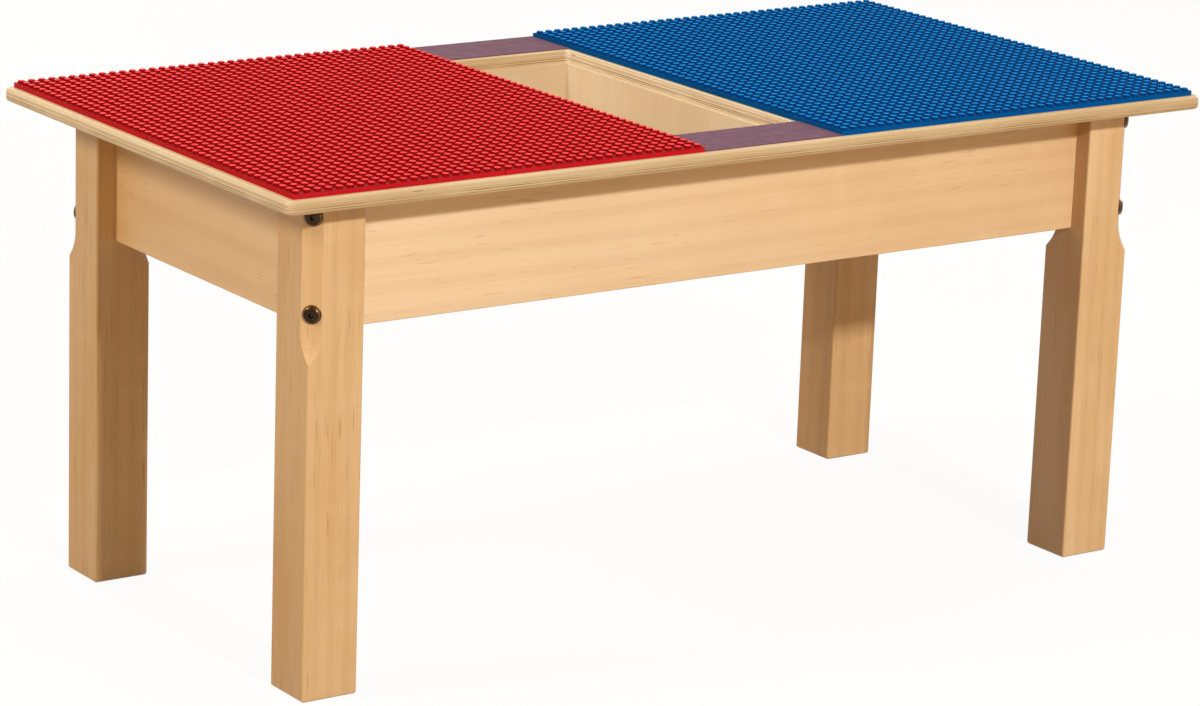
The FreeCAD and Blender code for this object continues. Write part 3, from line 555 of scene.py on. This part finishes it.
# Studio: a pale floor, a soft room, a small key lamp in front, and softboxes in front, at the left,
# overhead, at the right and behind. A lamp is its place and aim in metres, its size and its power in watts.
studio = {
    "floor": "#ffffff", "floorTurned": "#b59c78", "floorSize": 24.0, "floorGlow": 0.93,
    "cloudSize": 700.0, "cloudDetail": 3.0, "cloudShare": 0.1, "roomLight": 0.30, "roomTint": "#ffebc6",
}
lamps = {
    "keyLamp": {
        "from": (-0.34, -3.96, 2.27), "aim": (0, 0, 0.25), "size": 0.20, "power": 124.0, "tint": "#ffffff"},
    "frontSoftbox": {
        "from": (0.25, -3.0, 0.76), "aim": (0, 0, 0.17), "size": 2.0, "power": 8.5, "tint": "#ffecd2"},
    "leftSoftbox": {
        "from": (-2.18, 0.34, 1.58), "aim": (-0.34, 0, 0.25), "size": 0.47, "power": 25.4,
        "tint": "#fff0d5"},
    "overheadSoftbox": {
        "from": (0.08, 0.17, 2.18), "aim": (0, 0, 0.34), "size": 1.35, "power": 14.1, "tint": "#ffffff"},
    "rightSoftbox": {
        "from": (2.7, 0.42, 1.1), "aim": (0.34, 0, 0.25), "size": 1.0, "power": 17.0, "tint": "#fff0d5"},
    "rearSoftbox": {
        "from": (0.42, 2.85, 1.1), "aim": (0, 0.17, 0.25), "size": 0.85, "power": 17.0, "tint": "#fff0d5"},
}


def hangLamp(name, look):
    light = bpy.data.lights.new(name, "AREA")
    light.size = look["size"]
    light.energy = look["power"]
    light.color = srgb(look["tint"])[:3]
    holder = bpy.data.objects.new(name, light)
    bpy.context.scene.collection.objects.link(holder)
    holder.location = look["from"]
    holder.rotation_euler = (Vector(look["aim"]) - Vector(look["from"])).to_track_quat("-Z", "Y").to_euler()


def seenDirectly(add):  # 1 where the camera, a reflection or a refraction looks straight at it
    path = add("ShaderNodeLightPath")
    seen = add("ShaderNodeMath", {
        0: path.outputs["Is Camera Ray"], 1: path.outputs["Is Glossy Ray"]}, operation="MAXIMUM")
    return add("ShaderNodeMath", {0: seen, 1: path.outputs["Is Transmission Ray"]}, operation="MAXIMUM")


def layFloor(look):
    mesh = bpy.data.meshes.new("floor")
    half = look["floorSize"] / 2
    corners = [(-half, -half, 0), (half, -half, 0), (half, half, 0), (-half, half, 0)]
    mesh.from_pydata(corners, [], [(0, 1, 2, 3)])
    floor = bpy.data.objects.new("floor", mesh)
    bpy.context.scene.collection.objects.link(floor)
    work = startFinish("painted_studio_floor")
    add = work.add
    addGrains(work, {"cloud": ((look["cloudSize"],) * 3, look["cloudDetail"])})
    seen = seenDirectly(add)
    bounced = srgb(look["floorTurned"])  # light that the floor throws back is turned down and warm
    tone = add("ShaderNodeMix", {"Factor": seen, "A": bounced, "B": srgb(look["floor"])}, data_type="RGBA")
    uneven = add("ShaderNodeMapRange", noiseSpan | {
        "Value": work.layers["cloud"], "To Max": look["cloudShare"]})
    tone = add("ShaderNodeMix", {"Factor": uneven, "A": tone, "B": bounced}, data_type="RGBA")
    matt = add("ShaderNodeBsdfDiffuse", {"Color": tone})
    glow = add("ShaderNodeEmission", {"Strength": 1.0})
    share = add("ShaderNodeMath", {0: seen, 1: look["floorGlow"]}, operation="MULTIPLY")
    lit = add("ShaderNodeMixShader", {0: share, 1: matt, 2: glow})
    under = add("ShaderNodeNewGeometry").outputs["Backfacing"]  # clear from below, to show the underside
    both = add("ShaderNodeMixShader", {0: under, 1: lit, 2: add("ShaderNodeBsdfTransparent")})
    add("ShaderNodeOutputMaterial", {"Surface": both})
    mesh.materials.append(work.material)


def lightRoom(look):
    world = bpy.data.worlds.new("studioRoom")
    world.use_nodes = True
    world.node_tree.nodes.clear()
    add = functools.partial(addNode, world.node_tree)
    seen = seenDirectly(add)
    strength = add("ShaderNodeMapRange", {"Value": seen, "To Min": look["roomLight"], "To Max": 1.0})
    tint = add("ShaderNodeMix", {
        "Factor": seen, "A": srgb(look["roomTint"]), "B": srgb(look["floor"])}, data_type="RGBA")
    sky = add("ShaderNodeBackground", {"Color": tint, "Strength": strength})
    add("ShaderNodeOutputWorld", {"Surface": sky})
    bpy.context.scene.world = world


layFloor(studio)
lightRoom(studio)
for lampName, lampLook in lamps.items():
    hangLamp(lampName, lampLook)
bpy.context.scene.view_settings.view_transform = "Standard"
print("camera and studio set")
